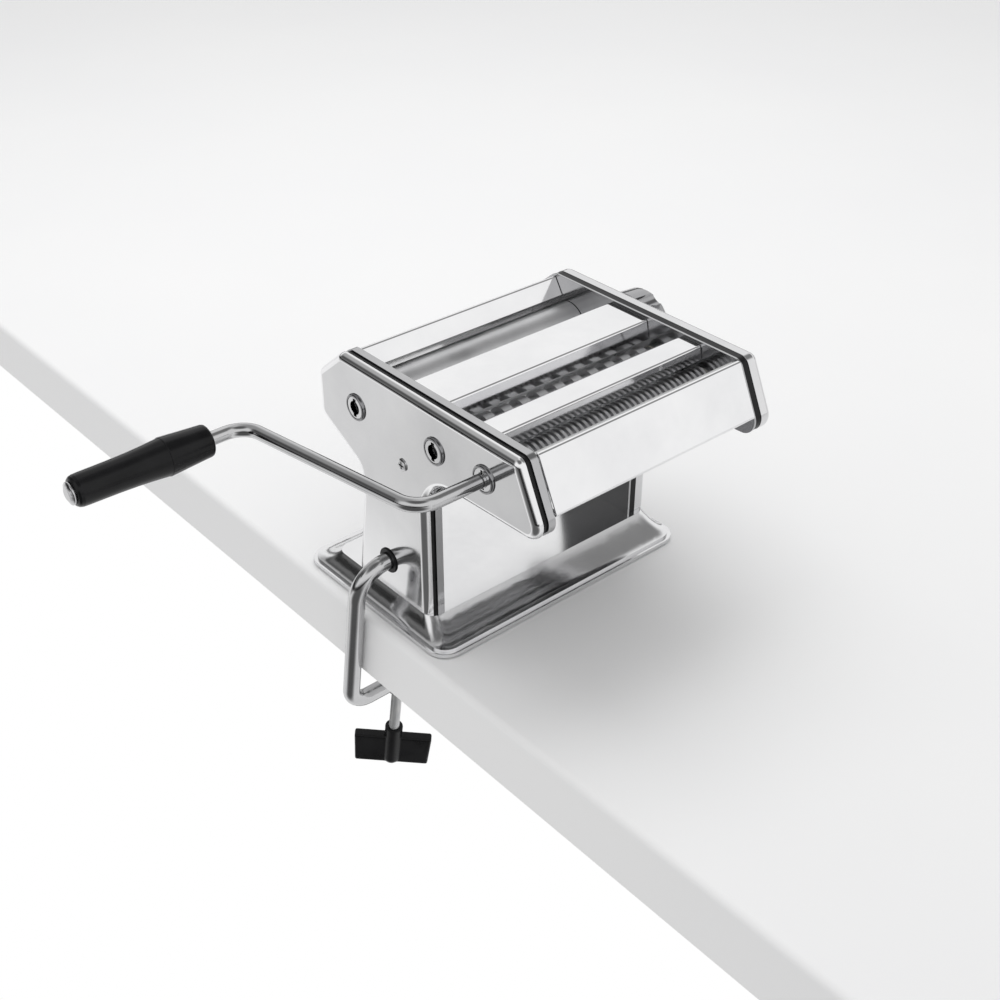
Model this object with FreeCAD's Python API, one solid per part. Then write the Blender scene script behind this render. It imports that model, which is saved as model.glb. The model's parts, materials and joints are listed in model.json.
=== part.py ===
import FreeCAD, Part
import math
import os

# Hand-cranked pasta roller, millimetres. X runs along the rollers with the crank at -X,
# -Y is the front where the strands come out, +Z is up, and z = 0 is the table top.
V = FreeCAD.Vector
os.makedirs("parts", exist_ok=True)

# overall sizes
cover_face = 88.0
total_height = 157.5
base_margin = 9.5
base_length = 2 * (cover_face + base_margin)
base_depth = 137.0
base_top = 15.5

# clearances
run_gap = 0.06
slide_gap = 0.1
body_gap = 0.4
pin_gap = 0.05

# side shells: rounded outer cover, dark spacer band, inner frame; the left frame is a tray
# that the gears clear, the right one a flat plate under a deeper cover
cover_depth = 5.0
cover_sheet = 1.2
cover_round = 4.5
spacer_depth = 3.2
spacer_inset = 0.9
spacer_band = 3.2
frame_depth = 4.8
frame_sheet = 1.5
right_proud = 2.0
right_depth = 9.0
right_inset = 0.3
cover_inner = cover_face - cover_sheet
spacer_out = cover_face - cover_depth
frame_out = spacer_out - spacer_depth
frame_in = frame_out - frame_depth
web_out = frame_in + frame_sheet
right_face = cover_face + right_proud
right_inner = right_face - cover_sheet
right_spacer_out = right_face - right_depth

# outline of a side, seen along X: (y, z, corner radius), clockwise from the top front
head_front = -121.0
head_back = 53.0
nose_front = -141.0
nose_bottom = 115.0
leg_front = -43.4
leg_foot_back = 24.0
side_outline = [
    (head_front, total_height, 6.0),
    (head_back - 22.5, total_height, 8.0),
    (head_back, total_height - 19.0, 6.0),
    (head_back, 110.0, 8.0),
    (16.3, 90.0, 8.0),
    (15.5, 72.0, 40.0),
    (leg_foot_back, base_top, 0.0),
    (leg_front, base_top, 0.0),
    (leg_front, nose_bottom - 4.0, 25.0),
    (nose_front, nose_bottom, 9.0),
]
foot_edge = 6

# base tray
base_sheet = 1.2
base_corner = 13.0
plate_corner = 8.0
rim_foot = 0.8
rim_lip = 3.2
rim_step = 2.4
rim_step_z = 4.8
end_slope = 9.5
side_slope = 21.5
foot_r = 7.0
foot_inset_x = 18.0
foot_inset_y = 30.0

# roller axes
drive_y, drive_z = 15.9, 129.1
wide_y, wide_z = -54.7, 133.0
narrow_y, narrow_z = -95.4, 135.3
roller_r = 14.0
roller_gap = 0.6
adjust_y = drive_y - 2 * roller_r - roller_gap
adjust_travel = 2.4
cutter_pitch_y = 17.0
wide_idle_y = wide_y - cutter_pitch_y
narrow_idle_y = narrow_y - cutter_pitch_y
fixed_axes = [
    (drive_y, drive_z),
    (wide_y, wide_z),
    (wide_idle_y, wide_z),
    (narrow_y, narrow_z),
    (narrow_idle_y, narrow_z),
]
driven_axes = [(drive_y, drive_z), (wide_y, wide_z), (narrow_y, narrow_z)]

# rollers and cutters
roller_half = frame_in - body_gap
cutter_core_r = 6.5
cutter_ring_r = 9.0
ring_side_gap = 0.12
wide_pitch = 12.9
wide_rings = 11
narrow_pitch = 3.95
narrow_rings = 37
journal_r = 5.5
bush_r = 7.0
bush_flange_r = 8.2
bush_flange = 1.5
journal_right = web_out + 2.5

# gears, all in one plane inside the left cover
gear_in = frame_out + 0.8
gear_width = 5.0
gear_out = gear_in + gear_width
roller_teeth = 15
cutter_teeth = 16
pressure_angle = math.radians(25.0)
backlash = 0.3

# crank sockets
socket_r = 6.5
socket_in = gear_out + 0.6
socket_face = cover_face + 1.1
collar_face = cover_face + 1.4
collar_r = 8.3
collar_neck_r = 7.4
crank_bore_r = 4.1
crank_bore_depth = 20.0
crank_bore_end = cover_face - crank_bore_depth
slot_width = 2.6
slot_length = 11.2

# crank
crank_r = crank_bore_r - slide_gap
crank_tip = crank_bore_end + 1.5
crank_reach = 43.0
crank_offset = 17.0
crank_near_x = -(cover_face + crank_reach)
crank_far = V(crank_near_x - crank_offset, 36.5, 130.9)
crank_bend = 14.0
pin_r = slot_width / 2 - slide_gap
pin_half = slot_length / 2 - 0.2
grip_gap = 20.7
grip_start = crank_far.x - grip_gap
grip_length = 82.0
grip_end = grip_start - grip_length
grip_small_r = 9.2
grip_ridge_r = 11.0
grip_tail_r = 9.0
retainer_r = 6.4

# sheet-metal panels between the frames
sheet = 1.0
sheet_bend = 1.6
panel_half = frame_in - 0.3
guide_z = 155.5
guide_back = adjust_y - 4.8
guide_back_z = drive_z + roller_r + 2.1
roller_guide = [(guide_back, guide_back_z), (guide_back - 1.0, guide_z), (-50.1, guide_z), (-52.5, 144.0)]
cutter_guide = [(-74.2, 144.0), (-76.5, guide_z), (-92.5, guide_z), (-94.0, 147.0)]
front_panel = [(-120.0, 157.3), (-122.1, 157.3), (-136.8, 126.9), (-128.5, 125.0)]
rear_panel = [(22.5, 145.5), (29.5, 156.4), (51.5, 137.8), (51.5, 111.0), (26.0, 97.2)]

# tie rods and screws
tie_r = 4.0
tie_spigot_r = 2.2
screw_y = adjust_y - 13.1
screw_z = drive_z - roller_r - 4.4
screw_spigot_r = 3.5
screw_r = 1.85
screw_head_r = 3.9
screw_head = 1.1
screw_recess = 0.8
block_length = 46.0
block_height = 12.0
base_screw_r = 1.95

# scrapers and strand combs
scraper_t = 1.0
scraper_height = 12.0
comb_t = 1.0
comb_offset = 5.0
comb_spine = 6.0
finger_gap = 0.3
tab_height = 4.0

# thickness dial on the right side
carrier_half = 10.0
carrier_t = 3.0
carrier_boss = 6.9
cam_r = 8.0
cam_turn = math.radians(320.0)
cam_width = 4.0
cam_in = frame_out + 0.6
dial_shaft_r = 4.0
dial_flat = 3.0
dial_bush_r = 6.0
dial_plate_r = 18.2
dial_plate_t = 0.8
dial_stops = 9
index_radius = 14.5
index_r = 1.1
knob_back = right_face + 1.6
knob_skirt = 3.4
knob_height = 24.0
knob_face = right_face + knob_height
knob_r = 22.5
knob_hub_r = 11.5
knob_notches = 5
knob_valley_r = 18.0
notch_r = 5.0
notch_angle = math.radians(27.0)
recess_r = 9.0
recess_depth = 10.0
cap_t = 1.4

# table clamp
clamp_y, clamp_z = -8.1, 36.5
clamp_r = 5.25
grommet_r = 7.0
grommet_flange_r = 8.1
grommet_flange = 0.9
clamp_lean = 9.3
clamp_reach = 22.2
clamp_throat = 37.4
clamp_bar_x = -(cover_face + clamp_reach)
clamp_drop = 113.2
clamp_bends = [20.0, 14.0]
clamp_screw_x = clamp_bar_x + clamp_throat
eye_r = 8.5
eye_height = 12.0
clamp_screw_r = 3.5
pad_r = 10.0
pad_rise = 30.5
pad_disc = 3.0
pad_hub_r = 6.0
pad_hub = 2.6
knob_boss_r = 5.9
knob_boss_drop = 45.5
knob_boss_length = 36.0
wing_drop = 9.0
wing_height = 25.0
wing_length = 51.5
wing_taper = 1.3
wing_t = 7.0
wing_turn = -40.6


def save(name, *solids):
    shape = solids[0] if len(solids) == 1 else Part.makeCompound(list(solids))
    shape.exportStep("parts/%s.step" % name)


def mirrored(shape):
    return shape.mirror(V(0, 0, 0), V(1, 0, 0))


def unit(a, b):
    length = math.hypot(b[0] - a[0], b[1] - a[1])
    return (b[0] - a[0]) / length, (b[1] - a[1]) / length


def crossing(p, d, q, e):
    t = ((q[0] - p[0]) * e[1] - (q[1] - p[1]) * e[0]) / (d[0] * e[1] - d[1] * e[0])
    return p[0] + t * d[0], p[1] + t * d[1]


def rounded_edges(points, radii):
    """Edges of a closed polygon of 3-D points, each corner rounded to its radius."""
    starts, ends, arcs = [], [], []
    count = len(points)
    for i, corner in enumerate(points):
        to_last = points[i - 1].sub(corner).normalize()
        to_next = points[(i + 1) % count].sub(corner).normalize()
        half = to_last.getAngle(to_next) / 2
        cut = radii[i] / math.tan(half)
        ends.append(corner + to_last * cut)
        starts.append(corner + to_next * cut)
        middle = to_last.add(to_next).normalize()
        arcs.append(corner + middle * (radii[i] / math.sin(half) - radii[i]))
    edges = []
    for i in range(count):
        if radii[i] > 0:
            edges.append(Part.Arc(ends[i], arcs[i], starts[i]).toShape())
        edges.append(Part.makeLine(starts[i], ends[(i + 1) % count]))
    return edges


def prism(outline, x0, x1):
    """Solid between x0 and x1 from an outline of (y, z, radius)."""
    points = [V(x0, y, z) for y, z, r in outline]
    edges = rounded_edges(points, [r for y, z, r in outline])
    return Part.Face(Part.Wire(edges)).extrude(V(x1 - x0, 0, 0))


def inset_outline(inset, foot=0.0):
    """The side outline moved inwards, its foot edge moved by its own amount."""
    count = len(side_outline)
    lines = []
    for i, (y, z, r) in enumerate(side_outline):
        d = unit((y, z), side_outline[(i + 1) % count][:2])
        shift = foot if i == foot_edge else inset
        lines.append(((y + d[1] * shift, z - d[0] * shift), d))
    result = []
    for i, (y, z, r) in enumerate(side_outline):
        (p, d), (q, e) = lines[i - 1], lines[i]
        corner = crossing(p, d, q, e)
        convex = d[0] * e[1] - d[1] * e[0] < 0
        radius = 0.0 if r == 0 else (max(r - inset, 0.5) if convex else r + inset)
        result.append((corner[0], corner[1], radius))
    return result


def dish(inset, foot, face_x, open_x, edge_r):
    """Solid of the side outline whose edge at face_x is rounded, except along its foot."""
    solid = prism(inset_outline(inset, foot), face_x, open_x)
    foot_z = base_top + foot
    edges = []
    for edge in solid.Edges:
        on_face = all(abs(v.X - face_x) < 1e-6 for v in edge.Vertexes)
        on_foot = all(abs(v.Z - foot_z) < 1e-6 for v in edge.Vertexes)
        if on_face and not on_foot:
            edges.append(edge)
    return solid.makeFillet(edge_r, edges)


def cyl_x(y, z, r, x0, x1):
    return Part.makeCylinder(r, abs(x1 - x0), V(min(x0, x1), y, z), V(1, 0, 0))


def cyl_z(x, y, r, z0, z1):
    return Part.makeCylinder(r, z1 - z0, V(x, y, z0))


def box(x0, x1, y0, y1, z0, z1):
    return Part.makeBox(x1 - x0, y1 - y0, z1 - z0, V(x0, y0, z0))


def turned(profile, y, z):
    """Solid turned about an axis along X through (y, z) from a closed (x, radius) profile."""
    points = [V(x, 0, r) for x, r in profile]
    face = Part.Face(Part.makePolygon(points + points[:1]))
    solid = face.revolve(V(0, 0, 0), V(1, 0, 0), 360)
    solid.translate(V(0, y, z))
    return solid


def offset_path(path, distance):
    """An open (y, z) path moved sideways, to its left for a positive distance."""
    dirs = [unit(a, b) for a, b in zip(path, path[1:])]
    moved = [(p[0] - d[1] * distance, p[1] + d[0] * distance) for p, d in zip(path, dirs)]
    result = [moved[0]]
    for i in range(1, len(dirs)):
        result.append(crossing(moved[i - 1], dirs[i - 1], moved[i], dirs[i]))
    last = dirs[-1]
    result.append((path[-1][0] - last[1] * distance, path[-1][1] + last[0] * distance))
    return result


def bent_sheet(path, side):
    """Folded sheet along a (y, z) path, its thickness on the given side of the path."""
    inner = offset_path(path, side * sheet)
    near, far = [], []
    for i, (p, q) in enumerate(zip(path, inner)):
        if 0 < i < len(path) - 1:
            d = unit(path[i - 1], p)
            e = unit(p, path[i + 1])
            towards = (d[0] * e[1] - d[1] * e[0]) * side > 0
            near.append((p[0], p[1], sheet_bend))
            far.append((q[0], q[1], sheet_bend - sheet if towards else sheet_bend + sheet))
        else:
            near.append((p[0], p[1], 0.0))
            far.append((q[0], q[1], 0.0))
    return prism(near + far[::-1], -panel_half, panel_half)


def ring_centres(count, pitch):
    return [(i - (count - 1) / 2) * pitch for i in range(count)]


def gear(teeth, distance, shift, y, z):
    """Spur gear for an equal partner at the given centre distance, on a journal at (y, z).
    A tooth points to -Y when shift is 0, and a tooth space when it is half a pitch."""
    pitch_r = distance / 2
    module = distance / teeth
    base_r = pitch_r * math.cos(pressure_angle)
    tip_r = pitch_r + module
    root_r = pitch_r - 1.25 * module

    def involute(r):
        a = math.acos(base_r / r)
        return math.tan(a) - a

    half = (math.pi * module / 2 - backlash) / 2 / pitch_r
    step = 2 * math.pi / teeth

    def at(r, angle):
        return V(-gear_out, -r * math.cos(angle), r * math.sin(angle))

    radii = [base_r + (tip_r - base_r) * k / 4 for k in range(5)]
    edges = []
    for k in range(teeth):
        mid = (k + shift) * step
        angles = [half + involute(pitch_r) - involute(r) for r in radii]
        rise = [at(r, mid - a) for r, a in zip(radii, angles)]
        fall = [at(r, mid + a) for r, a in zip(radii, angles)]
        left, right = Part.BSplineCurve(), Part.BSplineCurve()
        left.interpolate(rise)
        right.interpolate(fall[::-1])
        root_left, root_right = at(root_r, mid - angles[0]), at(root_r, mid + angles[0])
        next_root = at(root_r, mid + step - angles[0])
        edges.append(Part.makeLine(root_left, rise[0]))
        edges.append(left.toShape())
        edges.append(Part.Arc(rise[-1], at(tip_r, mid), fall[-1]).toShape())
        edges.append(right.toShape())
        edges.append(Part.makeLine(fall[0], root_right))
        edges.append(Part.Arc(root_right, at(root_r, mid + step / 2), next_root).toShape())
    blank = Part.Face(Part.Wire(edges)).extrude(V(gear_width, 0, 0))
    blank.translate(V(0, y, z))
    return blank.cut(cyl_x(y, z, journal_r, -gear_out, -gear_in))


def rod_along(points, bends, r):
    """Round rod along a path of 3-D points, each inner corner bent to its radius."""
    edges = []
    start = points[0]
    for i in range(1, len(points) - 1):
        corner = points[i]
        to_last = points[i - 1].sub(corner).normalize()
        to_next = points[i + 1].sub(corner).normalize()
        half = to_last.getAngle(to_next) / 2
        cut = bends[i - 1] / math.tan(half)
        middle = to_last.add(to_next).normalize()
        crown = corner + middle * (bends[i - 1] / math.sin(half) - bends[i - 1])
        edges.append(Part.makeLine(start, corner + to_last * cut))
        edges.append(Part.Arc(corner + to_last * cut, crown, corner + to_next * cut).toShape())
        start = corner + to_next * cut
    edges.append(Part.makeLine(start, points[-1]))
    section = Part.Wire(Part.makeCircle(r, points[0], points[1].sub(points[0])))
    return Part.Wire(edges).makePipeShell([section], True, False)


def tie_rod(y, z, spigot_r, left, right):
    return turned([
        (-left, 0), (-left, spigot_r), (-frame_in, spigot_r), (-frame_in, tie_r),
        (frame_in, tie_r), (frame_in, spigot_r), (right, spigot_r), (right, 0),
    ], y, z)


# tie rods: two nested in panel corners, two under the guide plates, one behind the cover screw
guide_tie_z = guide_z - sheet - tie_r
tie_axes = [
    offset_path(front_panel, sheet + tie_r)[1],
    offset_path(rear_panel, -sheet - tie_r)[2],
    ((roller_guide[1][0] + roller_guide[2][0]) / 2, guide_tie_z),
    ((cutter_guide[1][0] + cutter_guide[2][0]) / 2, guide_tie_z),
]
save("tie_rods", *[tie_rod(y, z, tie_spigot_r, web_out + 1.5, web_out) for y, z in tie_axes])
long_rod = tie_rod(screw_y, screw_z, screw_spigot_r, cover_inner, right_inner)
for end in (-1, 1):
    long_rod = long_rod.cut(cyl_x(screw_y, screw_z, screw_r + pin_gap, end * frame_in, end * right_face))
save("screw_tie_rod", long_rod)

# scrapers under the two smooth rollers
scraper_top = drive_z - roller_r - body_gap
scraper_axes = [drive_y, adjust_y]


def tabbed_strip(points, y, thickness, tab_low):
    """Flat strip standing across the machine, with a tab at each end held in the frames."""
    face = Part.Face(Part.makePolygon([V(x, y, z) for x, z in points + points[:1]]))
    tabs = box(-web_out, web_out, y, y + thickness, tab_low, tab_low + tab_height)
    return face.extrude(V(0, thickness, 0)).fuse(tabs).removeSplitter()


strip_half = frame_in - pin_gap
scraper_low = scraper_top - scraper_height
scraper_points = [
    (-strip_half, scraper_low), (strip_half, scraper_low),
    (strip_half, scraper_top), (-strip_half, scraper_top),
]
save("roller_scrapers", *[
    tabbed_strip(scraper_points, y - scraper_t / 2, scraper_t, scraper_low + tab_height)
    for y in scraper_axes
])

# strand combs: fingers in the grooves of each cutter
comb_near = comb_offset - comb_t / 2
finger_drop = math.sqrt((cutter_core_r + body_gap) ** 2 - comb_near ** 2)
spine_drop = math.sqrt((cutter_ring_r + body_gap) ** 2 - comb_near ** 2)


def comb(y, z, side, count, pitch):
    width = (pitch / 2 + ring_side_gap - 2 * finger_gap) / 2
    low, high, tip = z - spine_drop - comb_spine, z - spine_drop, z - finger_drop
    points = [(-strip_half, low), (strip_half, low), (strip_half, high)]
    for x in reversed(ring_centres(count, pitch)):
        points += [(x + width, high), (x + width, tip), (x - width, tip), (x - width, high)]
    points.append((-strip_half, high))
    return tabbed_strip(points, y + side * comb_offset - comb_t / 2, comb_t, low + 1.0)


save("wide_combs", comb(wide_y, wide_z, 1, wide_rings + 1, wide_pitch),
     comb(wide_idle_y, wide_z, -1, wide_rings, wide_pitch))
save("narrow_combs", comb(narrow_y, narrow_z, 1, narrow_rings + 1, narrow_pitch),
     comb(narrow_idle_y, narrow_z, -1, narrow_rings, narrow_pitch))

# base tray: lofted rounded rectangles, hollow from below
def base_section(grow_x, grow_y, corner, z):
    half_x, half_y = base_length / 2 - grow_x, base_depth / 2 - grow_y
    points = [V(-half_x, -half_y, z), V(half_x, -half_y, z), V(half_x, half_y, z), V(-half_x, half_y, z)]
    return Part.Wire(rounded_edges(points, [corner] * 4))


def base_body(inset, low, high):
    rim = Part.makeLoft([base_section(inset, inset, base_corner - inset, z)
                         for z in (low, rim_lip - base_sheet * (inset > 0))], True, True)
    step = inset + rim_step
    sections = []
    for k in range(5):
        part = k / 4
        run = 1 - (1 - part) ** 1.7
        corner = base_corner - step + (plate_corner + step - base_corner) * part
        sections.append(base_section(step + (end_slope - rim_step) * part,
                                     step + (side_slope - rim_step) * part,
                                     corner,
                                     rim_step_z + high - base_top + (base_top - rim_step_z) * (part ** 1.7)))
    slope = Part.makeLoft(sections, True, False)
    neck = Part.makeLoft([base_section(step, step, base_corner - step, z)
                          for z in (low, rim_step_z + high - base_top)], True, True)
    return rim.fuse([neck, slope]).removeSplitter()


block_y = (leg_front + leg_foot_back) / 2
screw_spots = [(side * (cover_inner + web_out) / 2, block_y + end * block_length / 3)
               for side in (-1, 1) for end in (-1, 1)]
tray = base_body(0, rim_foot, base_top).cut(base_body(base_sheet, rim_foot - 1, base_top - base_sheet))
for x, y in screw_spots:
    tray = tray.cut(cyl_z(x, y, base_screw_r + pin_gap, base_top - 3 * base_sheet, base_top + 1))
save("base", tray)
under = base_top - base_sheet
save("base_feet", *[
    cyl_z(sx * (base_length / 2 - foot_inset_x), sy * (base_depth / 2 - foot_inset_y), foot_r, 0, under)
    for sx in (-1, 1) for sy in (-1, 1)
])
blocks = []
for x0, x1 in ((-cover_inner, -web_out), (web_out, right_inner)):
    block = box(x0, x1, block_y - block_length / 2, block_y + block_length / 2,
                base_top, base_top + block_height)
    for x, y in screw_spots:
        block = block.cut(cyl_z(x, y, base_screw_r + pin_gap, base_top - 1, base_top + block_height - 2))
    blocks.append(block)
save("foot_blocks", *blocks)
save("base_screws", *[
    cyl_z(x, y, base_screw_r, under - 1, base_top + block_height - 3).fuse(
        cyl_z(x, y, 1.8 * base_screw_r, under - 2, under)).removeSplitter()
    for x, y in screw_spots
])

# side covers, spacers and frames
def cover_shell(face, depth):
    """Hollow cover with its face at -face and the hole of its screw."""
    inner = face - cover_sheet
    shell = dish(0, 0, -face, depth - face, cover_round).cut(
        dish(cover_sheet, -2.0, -inner, depth - face + 1, cover_round - cover_sheet))
    return shell.cut(cyl_x(screw_y, screw_z, screw_r + pin_gap, -face - 1, -inner + 1))


left_cover = cover_shell(cover_face, cover_depth)
left_cover = left_cover.cut(cyl_x(clamp_y, clamp_z, grommet_r + run_gap, -cover_face - 1, -cover_inner + 1))
for y, z in driven_axes:
    left_cover = left_cover.cut(cyl_x(y, z, collar_neck_r, -cover_face - 1, -cover_inner + 1))
save("left_cover", left_cover)
save("right_cover", mirrored(cover_shell(right_face, right_depth)).cut(
    cyl_x(adjust_y, drive_z, dial_bush_r, right_inner - 1, right_face + 1)))


def spacer(inset, outer, inner):
    """Band that follows the side outline between two distances from the middle, on the left."""
    return prism(inset_outline(inset), -outer, -inner).cut(
        prism(inset_outline(inset + spacer_band, -2.0), -outer - 1, -inner + 1))


save("left_spacer", spacer(spacer_inset, spacer_out, frame_out))
save("right_spacer", mirrored(spacer(right_inset, right_spacer_out, web_out)))

frame = prism(inset_outline(0), -frame_out, -frame_in).cut(
    prism(inset_outline(frame_sheet, -2.0), -frame_out - 1, -web_out))
web = (-web_out - 1, -frame_in + 1)
for y, z in fixed_axes:
    frame = frame.cut(cyl_x(y, z, bush_r, *web))
for y, z in tie_axes:
    frame = frame.cut(cyl_x(y, z, tie_spigot_r, *web))
frame = frame.cut(cyl_x(screw_y, screw_z, screw_spigot_r, *web))
window = carrier_boss + slide_gap
frame = frame.cut(box(web[0], web[1], adjust_y - window - adjust_travel, adjust_y + window,
                      drive_z - window, drive_z + window))
tab_slots = [(y - scraper_t / 2, scraper_t, scraper_low + tab_height) for y in scraper_axes]
comb_low = spine_drop + comb_spine - 1.0
for y, z, side in ((wide_y, wide_z, 1), (wide_idle_y, wide_z, -1),
                   (narrow_y, narrow_z, 1), (narrow_idle_y, narrow_z, -1)):
    tab_slots.append((y + side * comb_offset - comb_t / 2, comb_t, z - comb_low))
for y, thickness, low in tab_slots:
    frame = frame.cut(box(web[0], web[1], y - pin_gap, y + thickness + pin_gap,
                          low - pin_gap, low + tab_height + pin_gap))
save("left_frame", frame)
web_slice = box(-web_out, -frame_in, 2 * nose_front, 2 * head_back, 0, 2 * total_height)
save("right_frame", mirrored(frame.common(web_slice)))

# panels and guide plates
save("front_panel", bent_sheet(front_panel, 1))
save("rear_panel", bent_sheet(rear_panel, -1))
save("roller_guide", bent_sheet(roller_guide, 1))
save("cutter_guide", bent_sheet(cutter_guide, 1))

# cover screws with a cross recess
screws = []
for side, face in ((-1, cover_face), (1, right_face)):
    head = turned([
        (side * face, 0), (side * (face + screw_head), 0), (side * (face + screw_head), screw_head_r * 0.6),
        (side * (face + screw_head * 0.5), screw_head_r), (side * face, screw_head_r),
    ], screw_y, screw_z)
    screw = head.fuse(cyl_x(screw_y, screw_z, screw_r, side * (frame_in + 2), side * face))
    x0, x1 = sorted((side * (face + screw_head - screw_recess), side * (face + screw_head + 1)))
    for half_y, half_z in ((0.45, 2.3), (2.3, 0.45)):
        screw = screw.cut(box(x0, x1, screw_y - half_y, screw_y + half_y, screw_z - half_z, screw_z + half_z))
    screws.append(screw.removeSplitter())
save("cover_screws", *screws)

# bushes of the shafts that stay in place
bushes = []
for y, z in fixed_axes:
    for side in (-1, 1):
        bushes.append(turned([
            (side * frame_in, journal_r + run_gap), (side * frame_in, bush_r),
            (side * web_out, bush_r), (side * web_out, bush_flange_r),
            (side * (web_out + bush_flange), bush_flange_r),
            (side * (web_out + bush_flange), journal_r + run_gap),
        ], y, z))
save("shaft_bushes", *bushes)


# rollers
def roller_profile(count, pitch):
    """Lower half outline of a grooved cutter between its end faces."""
    width = pitch / 2 - ring_side_gap
    points = [(-roller_half, cutter_core_r)]
    for x in ring_centres(count, pitch):
        points += [(x - width / 2, cutter_core_r), (x - width / 2, cutter_ring_r),
                   (x + width / 2, cutter_ring_r), (x + width / 2, cutter_core_r)]
    return points + [(roller_half, cutter_core_r)]


def on_shaft(middle, y, z, driven):
    left = -socket_in if driven else -gear_out - 0.2
    solid = turned([(left, 0), (left, journal_r), (-roller_half, journal_r)] + middle
                   + [(roller_half, journal_r), (journal_right, journal_r), (journal_right, 0)], y, z)
    if driven:
        solid = solid.cut(cyl_x(y, z, crank_bore_r, -socket_in - 1, -crank_bore_end))
    return solid


smooth = [(-roller_half, roller_r), (roller_half, roller_r)]
save("drive_roller", on_shaft(smooth, drive_y, drive_z, True))
save("adjust_roller", on_shaft(smooth, adjust_y, drive_z, False))
wide_drive, wide_idle = roller_profile(wide_rings, wide_pitch), roller_profile(wide_rings + 1, wide_pitch)
save("wide_cutter", on_shaft(wide_drive, wide_y, wide_z, True))
save("wide_cutter_partner", on_shaft(wide_idle, wide_idle_y, wide_z, False))
narrow_drive = roller_profile(narrow_rings, narrow_pitch)
narrow_idle = roller_profile(narrow_rings + 1, narrow_pitch)
save("narrow_cutter", on_shaft(narrow_drive, narrow_y, narrow_z, True))
save("narrow_cutter_partner", on_shaft(narrow_idle, narrow_idle_y, narrow_z, False))

# gear pairs
roller_distance = drive_y - adjust_y
save("drive_roller_gear", gear(roller_teeth, roller_distance, 0.0, drive_y, drive_z))
save("adjust_roller_gear", gear(roller_teeth, roller_distance, 0.5 * (roller_teeth + 1), adjust_y, drive_z))
save("wide_cutter_gear", gear(cutter_teeth, cutter_pitch_y, 0.0, wide_y, wide_z))
save("wide_partner_gear", gear(cutter_teeth, cutter_pitch_y, 0.5 * (cutter_teeth + 1), wide_idle_y, wide_z))
save("narrow_cutter_gear", gear(cutter_teeth, cutter_pitch_y, 0.0, narrow_y, narrow_z))
save("narrow_partner_gear",
     gear(cutter_teeth, cutter_pitch_y, 0.5 * (cutter_teeth + 1), narrow_idle_y, narrow_z))

# crank sockets that turn with the shafts, and the fixed collars around them
for name, (y, z) in zip(("drive_roller_socket", "wide_cutter_socket", "narrow_cutter_socket"), driven_axes):
    ring = turned([(-socket_in, crank_bore_r), (-socket_in, socket_r),
                   (-socket_face, socket_r), (-socket_face, crank_bore_r)], y, z)
    slot = box(-socket_face - 1, -socket_in + 1, y - slot_width / 2, y + slot_width / 2,
               z - slot_length / 2, z + slot_length / 2)
    save(name, ring.cut(slot))
collar_bore = socket_r + run_gap
save("socket_collars", *[
    turned([
        (-cover_inner + 0.2, collar_bore), (-collar_face, collar_bore), (-collar_face, collar_r - 0.6),
        (-collar_face + 0.6, collar_r), (-cover_face, collar_r), (-cover_face, collar_neck_r),
        (-cover_inner + 0.2, collar_neck_r),
    ], y, z) for y, z in driven_axes
])

# crank with its cross pin, grip and retainer
pin_x = -(socket_in + socket_face) / 2
cross = Part.makeCylinder(pin_r, 2 * pin_half, V(pin_x, narrow_y, narrow_z - pin_half))
crank_path = [V(-crank_tip, narrow_y, narrow_z), V(crank_near_x, narrow_y, narrow_z), crank_far,
              V(grip_end - 0.6, crank_far.y, crank_far.z)]
save("crank_rod", rod_along(crank_path, [crank_bend, crank_bend], crank_r).cut(cross))
save("crank_pin", cross)
ridge_x = grip_start - 30.0
grip_bore = crank_r + run_gap
save("crank_grip", turned([
    (grip_start, grip_bore), (grip_start, grip_small_r - 1.5), (grip_start - 1.5, grip_small_r),
    (ridge_x + 14, grip_small_r + 0.5), (ridge_x + 3, grip_ridge_r - 0.3), (ridge_x, grip_ridge_r),
    (ridge_x - 4, grip_ridge_r - 0.2), (grip_end + 12, grip_tail_r + 0.4), (grip_end + 3, grip_tail_r),
    (grip_end, grip_tail_r - 2.5), (grip_end, grip_bore),
], crank_far.y, crank_far.z))
save("crank_retainer", turned([
    (grip_end - 0.6, 0), (grip_end - 0.6, retainer_r), (grip_end - 1.6, retainer_r),
    (grip_end - 3.0, retainer_r * 0.55), (grip_end - 3.0, 0),
], crank_far.y, crank_far.z))


# sliding carriers of the adjustable roller; the right one follows the dial's cam
carrier = box(-web_out - slide_gap - carrier_t, -web_out - slide_gap,
              adjust_y - carrier_half, adjust_y + carrier_half,
              drive_z - carrier_half, drive_z + carrier_half)
boss = box(-web_out - 1, -frame_in - pin_gap, adjust_y - carrier_boss, adjust_y + carrier_boss,
           drive_z - carrier_boss, drive_z + carrier_boss)
carrier = carrier.fuse(boss).removeSplitter().cut(
    cyl_x(adjust_y, drive_z, journal_r + run_gap, -cover_face, -frame_in + 1))
save("left_carrier", carrier)
lug_y = adjust_y - cam_r - body_gap
lug = box(web_out + slide_gap + carrier_t - 0.5, cam_in + cam_width, adjust_y - carrier_half, lug_y,
          drive_z - 1.5, drive_z + 1.5)
save("right_carrier", mirrored(carrier).fuse(lug).removeSplitter())

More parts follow.
